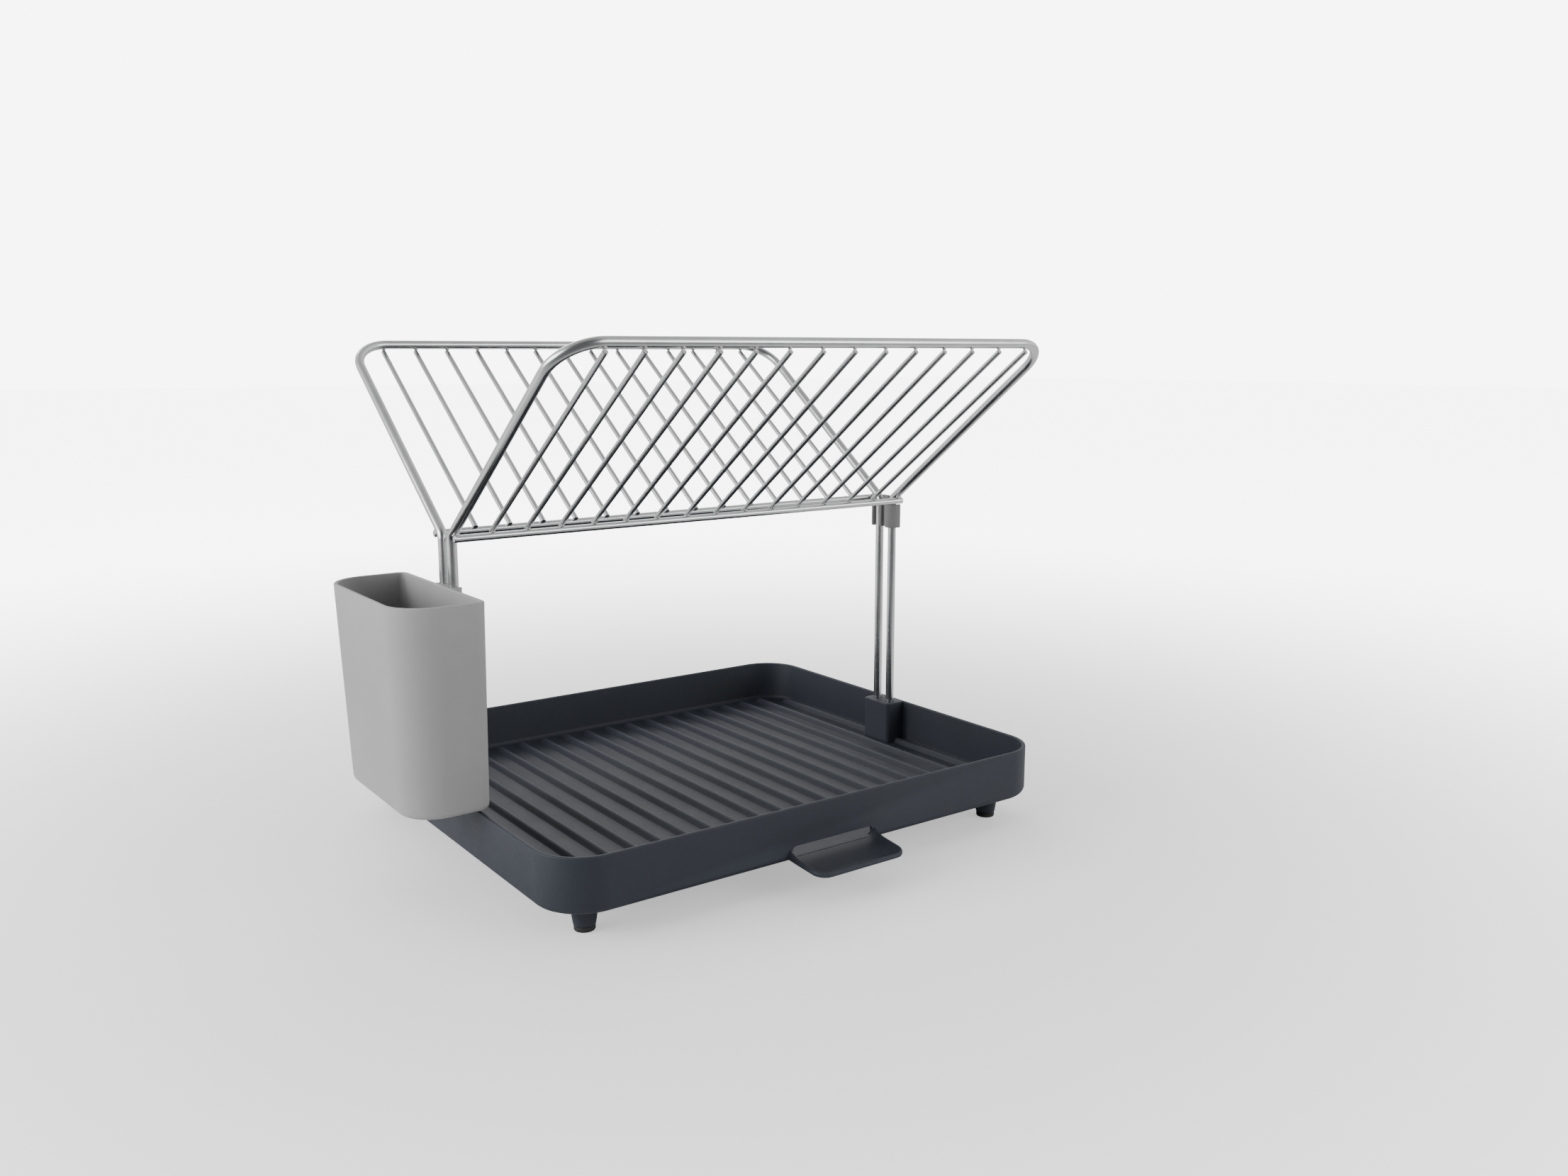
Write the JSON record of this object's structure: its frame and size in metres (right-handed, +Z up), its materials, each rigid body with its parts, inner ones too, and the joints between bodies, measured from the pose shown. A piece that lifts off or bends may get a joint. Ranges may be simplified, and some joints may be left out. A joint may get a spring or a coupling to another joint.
{
  "type": "dish drying rack",
  "caption": "Two-tier dish rack: steel wire wings clipped into a Y over a ribbed drip tray with drain spout and feet, plus a clip-on cutlery holder.",
  "frame": {"origin": "on the table at the centre of the whole rack's footprint", "axes": "+Z up, +X along the tray's long side away from the cutlery holder, -Y towards the drain spout"},
  "size_m": [0.405, 0.3448, 0.3192],
  "materials": {
    "steel": "satin, lightly polished",
    "tray_plastic": "matte, dark slate",
    "holder_plastic": "matte, light grey",
    "clip_plastic": "matte, mid grey",
    "pad_rubber": "matte black"
  },
  "bodies": {
    "tray": {"drip_tray": "tray_plastic", "foot_pad_front_left": "pad_rubber", "foot_pad_front_right": "pad_rubber", "foot_pad_rear_left": "pad_rubber", "foot_pad_rear_right": "pad_rubber"},
    "front_wing": {"front_wing_bar": "steel", "front_bottom_rail": "steel", "front_wire_01": "steel", "front_wire_02": "steel", "front_wire_03": "steel", "front_wire_04": "steel", "front_wire_05": "steel", "front_wire_06": "steel", "front_wire_07": "steel", "front_wire_08": "steel", "front_wire_09": "steel", "front_wire_10": "steel", "front_wire_11": "steel", "front_wire_12": "steel", "front_wire_13": "steel", "front_wire_14": "steel"},
    "rear_wing": {"rear_wing_bar": "steel", "rear_bottom_rail": "steel", "rear_wire_01": "steel", "rear_wire_02": "steel", "rear_wire_03": "steel", "rear_wire_04": "steel", "rear_wire_05": "steel", "rear_wire_06": "steel", "rear_wire_07": "steel", "rear_wire_08": "steel", "rear_wire_09": "steel", "rear_wire_10": "steel", "rear_wire_11": "steel", "rear_wire_12": "steel", "rear_wire_13": "steel", "rear_wire_14": "steel"},
    "leg_clip": {"leg_clip": "clip_plastic"},
    "cutlery_holder": {"cutlery_holder": "holder_plastic"}
  },
  "joints": [
    {"name": "rear_wing_lift", "type": "slide", "parent": "tray", "child": "rear_wing", "axis": [0, 0, 1], "range_m": [0, 0.06]},
    {"name": "front_wing_lift", "type": "slide", "parent": "tray", "child": "front_wing", "axis": [0, 0, 1], "range_m": [0, 0.06]},
    {"name": "cutlery_holder_unclip", "type": "slide", "parent": "rear_wing", "child": "cutlery_holder", "axis": [-1, 0, 0], "range_m": [0, 0.06]},
    {"name": "leg_clip_slide", "type": "slide", "parent": "rear_wing", "child": "leg_clip", "axis": [0, 0, -1], "range_m": [0, 0.1]}
  ],
  "couplings": [
    {"joint": "front_wing_lift", "follows": "rear_wing_lift", "ratio": 1}
  ]
}
